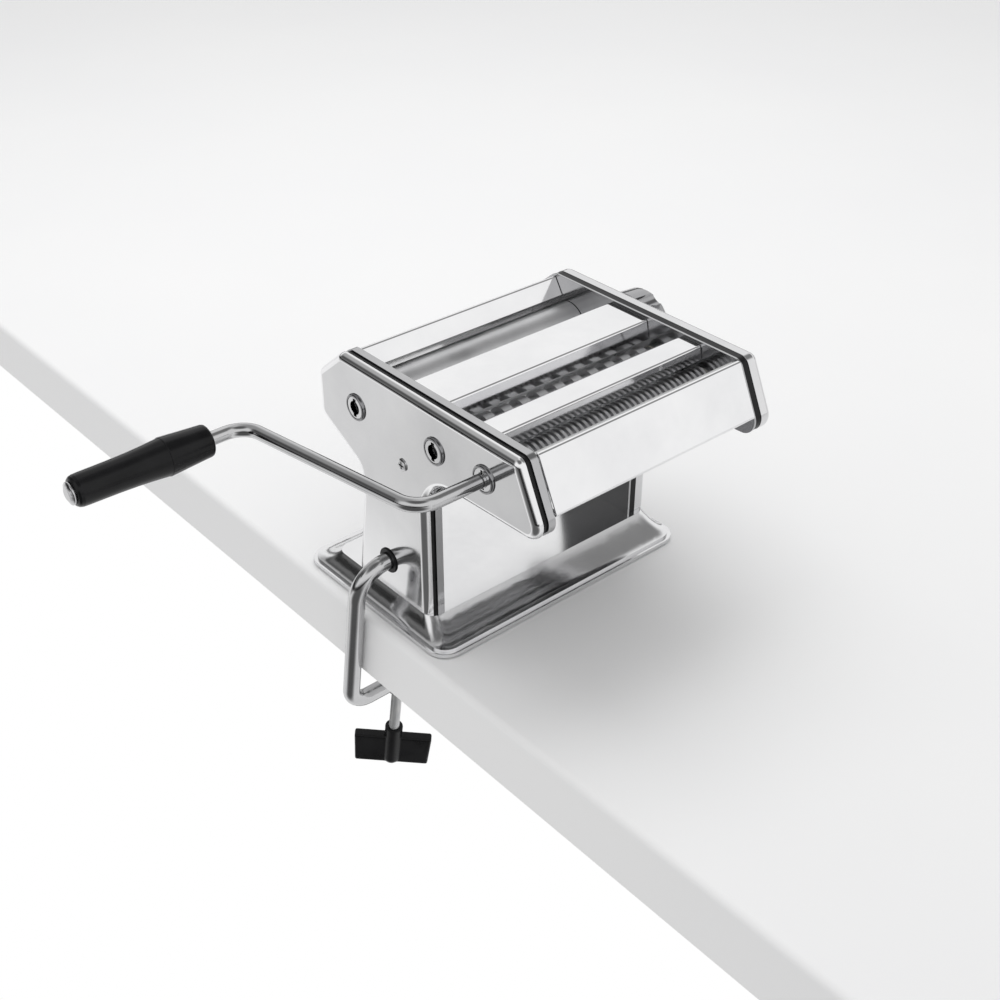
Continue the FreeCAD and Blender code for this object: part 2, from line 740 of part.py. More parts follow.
# snail cam: its radius towards -Y grows steadily as the dial turns
cam_rise = adjust_travel / cam_turn
cam_points = []
for k in range(25):
    angle = -0.3 + k * (cam_turn + 0.5) / 24
    reach = cam_r + cam_rise * angle
    cam_points.append(V(cam_in, -reach * math.cos(angle), reach * math.sin(angle)))
cam_curve = Part.BSplineCurve()
cam_curve.interpolate(cam_points)
cam_face = Part.Face(Part.Wire([cam_curve.toShape(), Part.makeLine(cam_points[-1], cam_points[0])]))
cam = cam_face.extrude(V(cam_width, 0, 0))
cam.translate(V(0, adjust_y, drive_z))
save("dial_cam", cam.cut(cyl_x(adjust_y, drive_z, dial_shaft_r, cam_in - 1, cam_in + cam_width + 1)))
recess_floor = knob_face - recess_depth
shaft_end = knob_face - 4.5


def flatted(r, x0, x1, gap):
    """Round bar with one flat, the form of the dial shaft and of the knob's bore."""
    bar = cyl_x(adjust_y, drive_z, r + gap, x0, x1)
    flat_z = drive_z + dial_flat + gap
    return bar.cut(box(x0 - 1, x1 + 1, adjust_y - 2 * r, adjust_y + 2 * r, flat_z, drive_z + 3 * r))


shaft = cyl_x(adjust_y, drive_z, dial_shaft_r, cam_in, knob_back - 0.4)
save("dial_shaft", shaft.fuse(flatted(dial_shaft_r, knob_back - 0.4, shaft_end, 0.0)).removeSplitter())
save("dial_stop_washer", turned([
    (shaft_end, 0), (shaft_end, 7.0), (shaft_end + 1.0, 7.0), (shaft_end + 1.0, 3.4),
    (shaft_end + 2.4, 3.0), (shaft_end + 2.4, 0),
], adjust_y, drive_z))
save("dial_bush", turned([
    (right_inner - 1.2, dial_shaft_r + run_gap), (right_inner - 1.2, dial_bush_r + 1.5),
    (right_inner, dial_bush_r + 1.5), (right_inner, dial_bush_r),
    (right_face + dial_plate_t, dial_bush_r), (right_face + dial_plate_t, dial_shaft_r + run_gap),
], adjust_y, drive_z))
plate = turned([(right_face, dial_bush_r), (right_face, dial_plate_r),
                (right_face + dial_plate_t, dial_plate_r - 0.4), (right_face + dial_plate_t, dial_bush_r)],
               adjust_y, drive_z)
for k in range(dial_stops):
    angle = k * cam_turn / (dial_stops - 1)
    stop_y = adjust_y - index_radius * math.sin(angle)
    stop_z = drive_z + index_radius * math.cos(angle)
    plate = plate.cut(cyl_x(stop_y, stop_z, index_r + 0.2, right_face - 1, right_face + 2))
save("dial_plate", plate)

# knob that slides out on the dial shaft
skirt = knob_back + knob_skirt
knob = turned([
    (knob_back, 0), (knob_back, knob_hub_r), (skirt, knob_hub_r + 1), (skirt, knob_r - 1.5),
    (skirt + 1.5, knob_r), (knob_face - 3, knob_r - 1), (knob_face - 1, knob_r - 2.2),
    (knob_face, knob_r - 5), (knob_face, 0),
], adjust_y, drive_z)
for k in range(knob_notches):
    angle = notch_angle + 2 * math.pi * k / knob_notches
    reach = knob_valley_r + notch_r
    knob = knob.cut(cyl_x(adjust_y - reach * math.sin(angle), drive_z + reach * math.cos(angle), notch_r,
                          skirt - 1, knob_face + 1))
knob = knob.cut(flatted(dial_shaft_r, knob_back - 1, knob_face, run_gap))
knob = knob.cut(cyl_x(adjust_y, drive_z, recess_r, recess_floor, knob_face + 1))
pin_z = drive_z + index_radius
index = cyl_x(adjust_y, pin_z, index_r, right_face + dial_plate_t + body_gap, skirt + 4)
save("thickness_knob", knob.cut(index))
save("index_pin", index)
save("knob_cap", cyl_x(adjust_y, drive_z, recess_r, knob_face - cap_t, knob_face))

# table clamp
save("clamp_grommet", turned([
    (-web_out, clamp_r + slide_gap), (-web_out, grommet_r), (-cover_face, grommet_r),
    (-cover_face - 0.2, grommet_flange_r), (-cover_face - grommet_flange, grommet_flange_r - 0.4),
    (-cover_face - grommet_flange, clamp_r + slide_gap),
], clamp_y, clamp_z))
arm_z = clamp_z - clamp_drop
pad_top = arm_z + pad_rise
boss_top = arm_z - knob_boss_drop
boss_bottom = boss_top - knob_boss_length
screw_low = boss_bottom + 14


def leaned(shape):
    """A clamp piece, built upright, swung about the clamp's pivot."""
    shape.rotate(V(0, clamp_y, clamp_z), V(1, 0, 0), clamp_lean)
    return shape


screw_hole = cyl_z(clamp_screw_x, clamp_y, clamp_screw_r + slide_gap, arm_z - eye_height, arm_z + eye_height)
bar = rod_along([V(-web_out - 0.5, clamp_y, clamp_z), V(clamp_bar_x, clamp_y, clamp_z),
                 V(clamp_bar_x, clamp_y, arm_z), V(clamp_screw_x, clamp_y, arm_z)], clamp_bends, clamp_r)
eye = cyl_z(clamp_screw_x, clamp_y, eye_r, arm_z - eye_height / 2, arm_z + eye_height / 2)
save("clamp_bar", leaned(bar.fuse(eye).cut(screw_hole)))
pad_low = pad_top - pad_disc - pad_hub
pad = cyl_z(clamp_screw_x, clamp_y, pad_r, pad_top - pad_disc, pad_top).fuse(
    cyl_z(clamp_screw_x, clamp_y, pad_hub_r, pad_low, pad_top - pad_disc)).removeSplitter()
pad = pad.cut(cyl_z(clamp_screw_x, clamp_y, clamp_screw_r + run_gap, pad_low - 1, pad_top - 1.2))
save("clamp_pad", leaned(pad))
save("clamp_screw", leaned(cyl_z(clamp_screw_x, clamp_y, clamp_screw_r, screw_low, pad_top - 1.6)))
wing_top = boss_top - wing_drop
wing_half = wing_length / 2
wing_corners = [
    V(-wing_half, -wing_t / 2, wing_top), V(wing_half, -wing_t / 2, wing_top),
    V(wing_half - wing_taper, -wing_t / 2, wing_top - wing_height),
    V(wing_taper - wing_half, -wing_t / 2, wing_top - wing_height),
]
wing = Part.Face(Part.makePolygon(wing_corners + wing_corners[:1])).extrude(V(0, wing_t, 0))
wing = wing.makeFillet(1.2, wing.Edges)
handle = cyl_z(0, 0, knob_boss_r, boss_bottom + knob_boss_r, boss_top).fuse(wing)
dome = Part.makeSphere(knob_boss_r, V(0, 0, boss_bottom + knob_boss_r))
handle = handle.fuse(dome).cut(cyl_z(0, 0, clamp_screw_r, screw_low, boss_top + 1)).removeSplitter()
handle.rotate(V(0, 0, 0), V(0, 0, 1), wing_turn)
handle.translate(V(clamp_screw_x, clamp_y, 0))
save("wing_knob", leaned(handle))
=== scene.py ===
import json
import math

import bmesh
import bpy
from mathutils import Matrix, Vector


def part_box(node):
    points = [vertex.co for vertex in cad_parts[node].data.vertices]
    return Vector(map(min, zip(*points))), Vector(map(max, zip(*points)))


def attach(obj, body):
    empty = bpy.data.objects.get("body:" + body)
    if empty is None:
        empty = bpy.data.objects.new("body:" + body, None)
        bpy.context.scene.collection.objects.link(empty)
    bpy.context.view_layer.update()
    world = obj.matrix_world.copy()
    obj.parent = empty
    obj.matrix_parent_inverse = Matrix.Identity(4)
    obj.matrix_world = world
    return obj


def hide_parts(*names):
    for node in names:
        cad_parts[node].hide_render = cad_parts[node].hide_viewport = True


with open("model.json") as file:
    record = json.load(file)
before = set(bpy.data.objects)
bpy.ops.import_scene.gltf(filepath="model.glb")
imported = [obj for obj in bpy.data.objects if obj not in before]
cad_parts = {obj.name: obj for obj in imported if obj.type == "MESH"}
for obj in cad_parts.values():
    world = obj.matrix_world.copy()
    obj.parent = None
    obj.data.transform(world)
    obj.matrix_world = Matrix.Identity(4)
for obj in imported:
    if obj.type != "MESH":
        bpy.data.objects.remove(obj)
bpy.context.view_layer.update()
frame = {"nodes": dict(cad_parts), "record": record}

nodes = frame["nodes"]
body_of_node = {n: body for body, names in frame["record"]["behaviour"]["bodies"].items() for n in names}
mm = 0.001

# camera at the photograph's viewing angle: metres, degrees, and millimetres for its lens and sensor
camera_place = Vector((-0.483114, -0.568833, 0.531662))
camera_turn = 40.6147
camera_down = 33.5583
camera_lens = 51.746
camera_sensor = 36.0

# pale floor with an edge that the clamp reaches round, in metres
slab_left = -0.1046
slab_thick = 0.0440
slab_edge = 0.0045
slab_edge_steps = 8
slab_reach = 3.0

# light: its levels, and the size, place and aim of the softbox in metres
world_level = 0.74
key_watts = 9.0
key_size = (1.5, 1.1)
key_place = Vector((0.15, 0.45, 1.45))
key_aim = Vector((0.0, -0.04, 0.08))

# dark parts of the studio that polished metal mirrors: direction, clear and full angle, share of light kept
dark_patches = {
    "behind_left": ((-0.66, 0.72, 0.20), 36.0, 14.0, 0.16),
    "above_behind_left": ((-0.28, 0.62, 0.73), 42.0, 18.0, 0.44),
    "above_right": ((0.54, -0.12, 0.83), 34.0, 14.0, 0.25),
    "above_front_left": ((-0.30, -0.20, 0.93), 32.0, 12.0, 0.16),
    "low_front_left": ((-0.74, -0.38, -0.52), 56.0, 24.0, 0.12),
    "beside_left_cover": ((-0.49, 0.72, -0.49), 6.0, 2.0, 0.74),
    "low_behind_left": ((-0.56, 0.60, -0.57), 8.5, 1.0, 0.62),
    "low_behind_right": ((0.62, 0.62, -0.48), 40.0, 22.0, 0.50),
}

# the dark band round the horizon and the lower half, by height on a sphere of radius 1, and the side
# where the band opens, by the cosine of the angle to it
horizon_half = 0.15
horizon_core = 0.4 * horizon_half
horizon_kept = 0.10
open_side = (0.55, -0.83, 0.05)
open_from, open_full = 0.55, 0.80
low_studio = 0.98
low_from, low_full = -0.05, -0.60

# finish sizes
eased_edge = 0.28 * mm
fine_edge = 0.12 * mm
sharp_angle = math.radians(38.0)
round_sharp = math.radians(30.0)
flat_angle = math.radians(0.2)
merge_distance = 1e-7

# crank grip: turned on the crank's far axis, (distance behind its front end, radius) in millimetres
grip_axis = (36.5, 130.9)
grip_front = -168.7
grip_bore = 4.06
grip_profile = [
    (2.4, grip_bore), (2.4, 7.7), (2.65, 8.5), (3.2, 9.05), (4.1, 9.3), (8.0, 9.55), (16.0, 10.1),
    (24.0, 10.7), (29.0, 11.0), (29.35, 10.95), (29.5, 10.72), (33.0, 10.45), (40.0, 9.9), (48.0, 9.45),
    (58.0, 9.15), (68.0, 9.05), (76.0, 9.0), (79.0, 8.85), (80.6, 8.4), (81.6, 7.6), (82.0, 6.6),
    (82.0, grip_bore),
]
grip_ridge_sharp = math.radians(9.0)
lathe_sides = 128

# socket collars on the left cover: (x, radius) in millimetres round each socket's axis (y, z)
socket_axes = [(15.9, 129.1), (-54.7, 133.0), (-95.4, 135.3)]
collar_bore = 6.56
collar_profile = [
    (-86.6, collar_bore), (-86.6, 7.4), (-88.0, 7.4), (-88.0, 8.3), (-88.35, 8.3), (-88.7, 8.22),
    (-89.0, 8.05), (-89.2, 7.85), (-89.33, 7.6), (-89.4, 7.3), (-89.4, collar_bore + 0.15),
    (-89.25, collar_bore),
]

# faces painted almost black as the shade inside hollows, in millimetres: the walls of socket bores within a
# radius of their axis, and the walls and floors of the cover screws' crosses, within a radius and this far
# out from the middle
shade_mark = "hollow"
painted_shade_black = (0.012, 0.012, 0.013, 1.0)
wall_lean = 0.5
socket_shade_r = 6.2
screw_axis = (-25.8, 110.7)
screw_cross_r = 2.4
screw_cross_out = {"left": 88.7, "right": 90.7}

# wing knob
wing_skin = 0.42 * mm
wing_softening = 9

# clamp screw: its axis leans with the clamp, and its thread stops short of both ends
screw_x = -72.8
pivot = (-8.1, 36.5)
clamp_lean = 9.3
screw_top = 84.3
screw_length = 96.4
screw_core = 3.02
thread_crest = 3.48
thread_pitch = 1.0
thread_flank = 0.47 * thread_pitch
thread_margin = 2.0
thread_length = screw_length - 2 * thread_margin
thread_sharp = math.radians(50.0)
thread_steps = 20
ridge_sides = 6
rod_sides = 48

# marks beside the dial's stops
dial_axis = (-12.7, 129.1)
mark_count = 9
mark_sweep = 320.0
mark_radius = 16.9
mark_size = (0.9, 0.28, 0.1)


# Node helpers for materials

class Shade:
    """A material under construction: its node tree, its shader and short ways to add nodes."""

    def __init__(self, name):
        self.material = bpy.data.materials.new(name)
        self.material.use_nodes = True
        self.tree = self.material.node_tree
        self.shader = self.tree.nodes["Principled BSDF"]
        self.coords = self.tree.nodes.new("ShaderNodeTexCoord").outputs["Object"]

    def set(self, **values):
        for name, value in values.items():
            self.shader.inputs[name.replace("_", " ")].default_value = value

    def link(self, source, target):
        self.tree.links.new(source, target)

    def stretched(self, scale):
        mapping = self.tree.nodes.new("ShaderNodeMapping")
        mapping.inputs["Scale"].default_value = scale
        self.link(self.coords, mapping.inputs["Vector"])
        return mapping.outputs["Vector"]

    def noise(self, scale, detail=4.0, roughness=0.5, vector=None):
        node = self.tree.nodes.new("ShaderNodeTexNoise")
        node.inputs["Scale"].default_value = scale
        node.inputs["Detail"].default_value = detail
        node.inputs["Roughness"].default_value = roughness
        self.link(vector or self.coords, node.inputs["Vector"])
        return node.outputs["Fac"]

    def ramp(self, source, stops):
        node = self.tree.nodes.new("ShaderNodeValToRGB")
        elements = node.color_ramp.elements
        while len(elements) < len(stops):
            elements.new(0.5)
        for element, (place, colour) in zip(elements, stops):
            element.position = place
            element.color = (*colour, 1.0)
        self.link(source, node.inputs["Fac"])
        return node.outputs["Color"]

    def between(self, source, low, high):
        node = self.tree.nodes.new("ShaderNodeMapRange")
        node.inputs["From Min"].default_value = 0.3
        node.inputs["From Max"].default_value = 0.7
        node.inputs["To Min"].default_value = low
        node.inputs["To Max"].default_value = high
        self.link(source, node.inputs["Value"])
        return node.outputs["Result"]

    def blend(self, a, b, share):
        node = self.tree.nodes.new("ShaderNodeMath")
        node.operation = "MULTIPLY_ADD"
        node.inputs[1].default_value = share
        self.link(b, node.inputs[0])
        self.link(a, node.inputs[2])
        return node.outputs["Value"]

    def with_painted_shade(self, source):
        """Paints shade: takes the colour almost to black on faces that carry the hollow mark."""
        mark = self.tree.nodes.new("ShaderNodeAttribute")
        mark.attribute_name = shade_mark
        node = self.tree.nodes.new("ShaderNodeMix")
        node.data_type = "RGBA"
        self.link(mark.outputs["Fac"], node.inputs["Factor"])
        self.link(source, node.inputs["A"])
        node.inputs["B"].default_value = painted_shade_black
        return node.outputs["Result"]

    def colour(self, source):
        self.link(source, self.shader.inputs["Base Color"])

    def roughness(self, source):
        self.link(source, self.shader.inputs["Roughness"])

    def bump(self, height, strength, distance):
        node = self.tree.nodes.new("ShaderNodeBump")
        node.inputs["Strength"].default_value = strength
        node.inputs["Distance"].default_value = distance
        self.link(height, node.inputs["Height"])
        self.link(node.outputs["Normal"], self.shader.inputs["Normal"])


def chrome_plate(name, low, high, smooth, rough):
    """Chrome plate: faint smears, a slight ripple, fine wiping marks, and painted shade, almost black, in
    the hollows where marked.
    """
    s = Shade(name)
    s.set(Metallic=1.0)
    smear = s.noise(22.0, 5.0, 0.6)
    wiping = s.noise(260.0, 3.0, 0.6, s.stretched((1.0, 6.0, 1.0)))
    plate = s.ramp(smear, [(0.3, (low, low, low + 0.01)), (0.7, (high, high, high + 0.005))])
    s.colour(s.with_painted_shade(plate))
    s.roughness(s.between(s.blend(smear, wiping, 0.35), smooth, rough))
    s.bump(s.noise(40.0, 1.0), 0.03, 0.05 * mm)
    return s.material


def turned_aluminium():
    """Rollers and cutters: lathe rings round the axis in pale satin metal."""
    s = Shade("turned_aluminium")
    s.set(Metallic=1.0)
    rings = s.noise(1.0, 4.0, 0.7, s.stretched((5200.0, 60.0, 60.0)))
    haze = s.noise(60.0, 4.0)
    s.colour(s.ramp(haze, [(0.3, (0.62, 0.62, 0.63)), (0.7, (0.74, 0.74, 0.75))]))
    s.roughness(s.between(s.blend(haze, rings, 0.4), 0.22, 0.40))
    s.bump(rings, 0.25, 0.03 * mm)
    return s.material


def plain_steel():
    """Zinc-plated working parts: duller, a little cloudy and lightly pitted."""
    s = Shade("plain_steel")
    s.set(Metallic=1.0)
    cloud = s.noise(90.0, 6.0, 0.65)
    pits = s.noise(1400.0, 2.0)
    s.colour(s.ramp(cloud, [(0.3, (0.50, 0.51, 0.52)), (0.7, (0.66, 0.66, 0.65))]))
    s.roughness(s.between(s.blend(cloud, pits, 0.3), 0.26, 0.46))
    s.bump(pits, 0.18, 0.04 * mm)
    return s.material


def black_moulding(name, low, high, grain):
    """Moulded black plastic with a fine grain and faint rubbed patches."""
    s = Shade(name)
    s.set(IOR=1.49, Specular_IOR_Level=0.2)
    rubbed = s.noise(70.0, 4.0, 0.6)
    s.colour(s.ramp(rubbed, [(0.3, (0.005, 0.005, 0.0055)), (0.75, (0.011, 0.011, 0.012))]))
    texture = s.noise(grain, 2.0)
    s.roughness(s.between(s.blend(rubbed, texture, 0.3), low, high))
    s.bump(texture, 0.16, 0.05 * mm)
    return s.material


def bearing_nylon():
    """Off-white nylon of the bushes, slightly mottled."""
    s = Shade("bearing_nylon")
    mottle = s.noise(160.0, 4.0)
    s.colour(s.ramp(mottle, [(0.3, (0.52, 0.50, 0.45)), (0.7, (0.66, 0.64, 0.59))]))
    s.roughness(s.between(mottle, 0.42, 0.60))
    s.bump(s.noise(900.0), 0.15, 0.04 * mm)
    return s.material


def foot_rubber():
    """Dark rubber of the feet, dry and dusty."""
    s = Shade("foot_rubber")
    dust = s.noise(240.0, 5.0, 0.7)
    s.colour(s.ramp(dust, [(0.35, (0.022, 0.022, 0.022)), (0.75, (0.060, 0.058, 0.055))]))
    s.roughness(s.between(dust, 0.70, 0.92))
    s.bump(dust, 0.30, 0.08 * mm)
    return s.material


def pale_floor():
    """Plain satin floor, nearly white."""
    s = Shade("pale_floor")
    cloud = s.noise(3.0, 3.0)
    s.colour(s.ramp(cloud, [(0.3, (0.885, 0.885, 0.89)), (0.7, (0.905, 0.905, 0.905))]))
    s.roughness(s.between(cloud, 0.50, 0.58))
    return s.material


finish = {
    "chrome": chrome_plate("mirror_chrome", 0.80, 0.88, 0.035, 0.10),
    "tray_chrome": chrome_plate("tray_chrome", 0.72, 0.81, 0.08, 0.15),
    # crank rod, clamp bar, retainer and cover screws: a duller plate, also dimmed as painted shade for the
    # dark things these parts mirror
    "shaded_rod_chrome": chrome_plate("shaded_rod_chrome", 0.48, 0.58, 0.06, 0.13),
    # right cover: the mirror chrome dimmed, painted shade on the far cover
    "shaded_far_chrome": chrome_plate("shaded_far_chrome", 0.66, 0.74, 0.035, 0.10),
    # socket collars: chrome dimmed to dark grey, painted shade for the dark ring round each socket
    "shaded_collar_chrome": chrome_plate("shaded_collar_chrome", 0.24, 0.32, 0.06, 0.12),
    "knob_chrome": chrome_plate("knob_chrome", 0.32, 0.40, 0.05, 0.12),
    "frame_chrome": chrome_plate("frame_chrome", 0.42, 0.50, 0.08, 0.16),
    "roller_metal": turned_aluminium(),
    "steel": plain_steel(),
    "black_plastic": black_moulding("black_moulding", 0.20, 0.34, 2600.0),
    "grip": black_moulding("grip_moulding", 0.10, 0.20, 1500.0),
    "bush_plastic": bearing_nylon(),
    "rubber": foot_rubber(),
}
slot_of_node = {p["node"]: p["material_slot"] for p in frame["record"]["subparts"]}
finish_of_node = dict(slot_of_node, base="tray_chrome", crank_rod="shaded_rod_chrome", crank_retainer="shaded_rod_chrome",
                      clamp_bar="shaded_rod_chrome", left_frame="frame_chrome", right_frame="frame_chrome",
                      thickness_knob="knob_chrome", cover_screws="shaded_rod_chrome", right_cover="shaded_far_chrome")


# Pieces

def link(name, mesh, material):
    """A new object in the scene with this mesh and one material."""
    mesh.materials.clear()
    mesh.materials.append(material)
    obj = bpy.data.objects.new(name, mesh)
    bpy.context.scene.collection.objects.link(obj)
    return obj


def stands_for(piece, *names):
    """The piece rides where its CAD nodes do and takes their place."""
    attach(piece, body_of_node[names[0]])
    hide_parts(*names)


def weighted(obj):
    """Lets the large flat faces rule the shading of the eased edges beside them."""
    modifier = obj.modifiers.new("weighted_normals", "WEIGHTED_NORMAL")
    modifier.keep_sharp = True
    modifier.weight = 100


def merged_copy(node):
    """A copy of the CAD mesh with its loose triangles joined and its flats made whole."""
    bm = bmesh.new()
    bm.from_mesh(nodes[node].data)
    bmesh.ops.remove_doubles(bm, verts=bm.verts, dist=merge_distance)
    bmesh.ops.dissolve_limit(bm, angle_limit=flat_angle, verts=bm.verts, edges=bm.edges)
    return bm


def eased(node, width=eased_edge):
    """The CAD shape with its sharp edges broken, as pressed and plated metal has them."""
    bm = merged_copy(node)
    edges = [e for e in bm.edges if len(e.link_faces) == 2 and e.calc_face_angle(0.0) > sharp_angle]
    bmesh.ops.bevel(bm, geom=edges, offset=width, offset_type="OFFSET", segments=2, profile=0.5,
                    affect="EDGES", clamp_overlap=True)
    mesh = bpy.data.meshes.new(node + "_finish")
    bm.to_mesh(mesh)
    bm.free()
    mesh.shade_smooth()
    mesh.set_sharp_from_angle(angle=sharp_angle)
    piece = link(node + "_finish", mesh, finish[finish_of_node[node]])
    weighted(piece)
    stands_for(piece, node)
    return mesh


def paint_hollow_shade(mesh, inside):
    """Marks the faces that the test picks, so that their chrome is painted almost black as the shade in a
    hollow.
    """
    mark = mesh.attributes.new(shade_mark, "FLOAT", "FACE")
    mark.data.foreach_set("value", [float(inside(face.center / mm, face.normal)) for face in mesh.polygons])


def off_axis(place, axis):
    """Distance from an axis (y, z) that runs along X."""
    return math.hypot(place.y - axis[0], place.z - axis[1])


def is_wall(normal):
    """True where a face stands along X rather than across it."""
    return abs(normal.x) < wall_lean


def in_socket(axis):
    """The test for the walls of the socket bore on this axis."""
    return lambda place, normal: is_wall(normal) and off_axis(place, axis) < socket_shade_r


def in_cross(place, normal):
    """True on the walls and floor of a cover screw's cross."""
    face = screw_cross_out["left" if place.x < 0 else "right"]
    return off_axis(place, screw_axis) < screw_cross_r and (is_wall(normal) or abs(place.x) < face)


for name, obj in nodes.items():
    obj.data.materials.clear()
    obj.data.materials.append(finish[finish_of_node[name]])

for name in ("left_cover", "right_cover", "left_frame", "right_frame", "base", "front_panel", "rear_panel",
             "roller_guide", "cutter_guide", "thickness_knob", "knob_cap", "dial_plate", "left_spacer",
             "right_spacer", "crank_retainer", "clamp_grommet", "clamp_pad", "base_feet"):
    eased(name)
# painted shade: socket bore walls and the cover screws' crosses are coloured almost black
for name, axis in zip(("drive_roller_socket", "wide_cutter_socket", "narrow_cutter_socket"), socket_axes):
    paint_hollow_shade(eased(name, fine_edge), in_socket(axis))
paint_hollow_shade(eased("cover_screws", fine_edge), in_cross)


# Turned pieces

def lathe(name, axes, profile, material, sharp=round_sharp):
    """Closed profile of (x, radius) in millimetres, turned round each axis (y, z) that runs along X."""
    bm = bmesh.new()
    for y0, z0 in axes:
        rings = []
        for x, radius in profile:
            ring = []
            for k in range(lathe_sides):
                angle = 2 * math.pi * k / lathe_sides
                place = Vector((x, y0 + radius * math.cos(angle), z0 + radius * math.sin(angle)))
                ring.append(bm.verts.new(place * mm))
            rings.append(ring)
        for near, far in zip(rings, rings[1:] + rings[:1]):
            for k in range(lathe_sides):
                j = (k + 1) % lathe_sides
                bm.faces.new((near[k], near[j], far[j], far[k]))
    bmesh.ops.recalc_face_normals(bm, faces=bm.faces)
    mesh = bpy.data.meshes.new(name)
    bm.to_mesh(mesh)
    bm.free()
    mesh.shade_smooth()
    mesh.set_sharp_from_angle(angle=sharp)
    return link(name, mesh, material)


def turned_grip():
    """Grip with a crisp ridge where its two tapers meet."""
    profile = [(grip_front - back, radius) for back, radius in grip_profile]
    stands_for(lathe("turned_grip", [grip_axis], profile, finish["grip"], grip_ridge_sharp), "crank_grip")


def socket_rings():
    """Collars round the three crank sockets, each with a full outer round."""
    # the collars' plate is dimmed as painted shade
    rings = lathe("socket_rings", socket_axes, collar_profile, finish["shaded_collar_chrome"])
    stands_for(rings, "socket_collars")


# Wing knob

def baked(piece):
    """Applies the piece's modifiers and leaves a plain mesh."""
    seen = piece.evaluated_get(bpy.context.evaluated_depsgraph_get())
    mesh = bpy.data.meshes.new_from_object(seen)
    piece.modifiers.clear()
    piece.data = mesh
    return mesh


def moulded_wing():
    """The wing knob with its wings run softly into the boss, as a moulding has them."""
    bm = merged_copy("wing_knob")
    mesh = bpy.data.meshes.new("moulded_wing")
    bm.to_mesh(mesh)
    bm.free()
    piece = link("moulded_wing", mesh, finish["black_plastic"])
    skin = piece.modifiers.new("skin", "REMESH")
    skin.mode = "VOXEL"
    skin.voxel_size = wing_skin
    soft = piece.modifiers.new("soft", "SMOOTH")
    soft.factor = 0.5
    soft.iterations = wing_softening
    baked(piece).shade_smooth()
    stands_for(piece, "wing_knob")


# Clamp screw and dial marks, by Geometry Nodes

class Graph:
    """A Geometry Nodes tree under construction, with named inputs for its sizes."""

    def __init__(self, name):
        self.tree = bpy.data.node_groups.new(name, "GeometryNodeTree")
        self.tree.interface.new_socket("Geometry", in_out="OUTPUT", socket_type="NodeSocketGeometry")
        self.given = self.tree.nodes.new("NodeGroupInput")
        self.values = {}

    def size(self, name, value, kind="NodeSocketFloat"):
        socket = self.tree.interface.new_socket(name, in_out="INPUT", socket_type=kind)
        self.values[socket.identifier] = value
        return self.given.outputs[name]

    def node(self, kind, links=None, **settings):
        node = self.tree.nodes.new(kind)
        for name, value in settings.items():
            setattr(node, name, value)
        for name, value in (links or {}).items():
            socket = node.inputs[name]
            if isinstance(value, bpy.types.NodeSocket):
                self.tree.links.new(value, socket)
            else:
                socket.default_value = value
        return node

    def piece(self, name, geometry, material):
        """Realizes the geometry, gives it its material and returns it as a plain mesh object."""
        real = self.node("GeometryNodeRealizeInstances", {"Geometry": geometry})
        done = self.node("GeometryNodeSetMaterial", {"Geometry": real.outputs[0], "Material": material})
        out = self.node("NodeGroupOutput")
        self.tree.links.new(done.outputs[0], out.inputs["Geometry"])
        obj = link(name, bpy.data.meshes.new(name), material)
        maker = obj.modifiers.new(name, "NODES")
        maker.node_group = self.tree
        for identifier, value in self.values.items():
            maker[identifier] = value
        baked(obj)
        return obj


def threaded_screw():
    """Rod with a rolled thread: a ridge that follows a spiral round the core."""
    g = Graph("threaded_screw")
    length = g.size("Length", screw_length * mm)
    core = g.size("Core radius", screw_core * mm)
    crest = g.size("Thread crest", thread_crest * mm)
    turns = g.size("Turns", thread_length / thread_pitch)
    rise = g.size("Thread length", thread_length * mm)
    flank = g.size("Flank", thread_flank * mm)
    path = g.node("GeometryNodeCurveSpiral", {
        "Resolution": thread_steps, "Rotations": turns, "Height": rise,
        "Start Radius": core, "End Radius": core})
    depth = g.node("ShaderNodeMath", {0: crest, 1: core}, operation="SUBTRACT")
    ridge = g.node("GeometryNodeCurvePrimitiveCircle", {"Resolution": ridge_sides, "Radius": flank})
    flat = g.node("ShaderNodeMath", {0: depth.outputs[0], 1: flank}, operation="DIVIDE")
    shape = g.node("ShaderNodeCombineXYZ", {"X": flat.outputs[0], "Y": 1.0, "Z": 1.0})
    squeezed = g.node("GeometryNodeTransform", {
        "Geometry": ridge.outputs["Curve"], "Scale": shape.outputs[0]})
    upright = g.node("GeometryNodeSetCurveNormal", {"Curve": path.outputs[0]}, mode="Z_UP")
    thread = g.node("GeometryNodeCurveToMesh", {
        "Curve": upright.outputs[0], "Profile Curve": squeezed.outputs[0], "Fill Caps": True})
    lifted = g.node("GeometryNodeTransform", {
        "Geometry": thread.outputs[0], "Translation": (0, 0, thread_margin * mm)})
    rod = g.node("GeometryNodeMeshCylinder", {"Vertices": rod_sides, "Radius": core, "Depth": length})
    half = g.node("ShaderNodeMath", {0: length, 1: 0.5}, operation="MULTIPLY")
    middle = g.node("ShaderNodeCombineXYZ", {"Z": half.outputs[0]})
    raised = g.node("GeometryNodeTransform", {
        "Geometry": rod.outputs["Mesh"], "Translation": middle.outputs[0]})
    whole = g.node("GeometryNodeJoinGeometry")
    for part in (lifted, raised):
        g.tree.links.new(part.outputs[0], whole.inputs[0])
    lean = math.radians(clamp_lean)
    reach = screw_top + screw_length
    foot = Vector((screw_x, pivot[0] + reach * math.sin(lean), pivot[1] - reach * math.cos(lean))) * mm
    placed = g.node("GeometryNodeTransform", {
        "Geometry": whole.outputs[0], "Translation": foot, "Rotation": (lean, 0.0, 0.0)})
    piece = g.piece("threaded_screw", placed.outputs[0], finish["steel"])
    piece.data.shade_smooth()
    piece.data.set_sharp_from_angle(angle=thread_sharp)
    stands_for(piece, "clamp_screw")


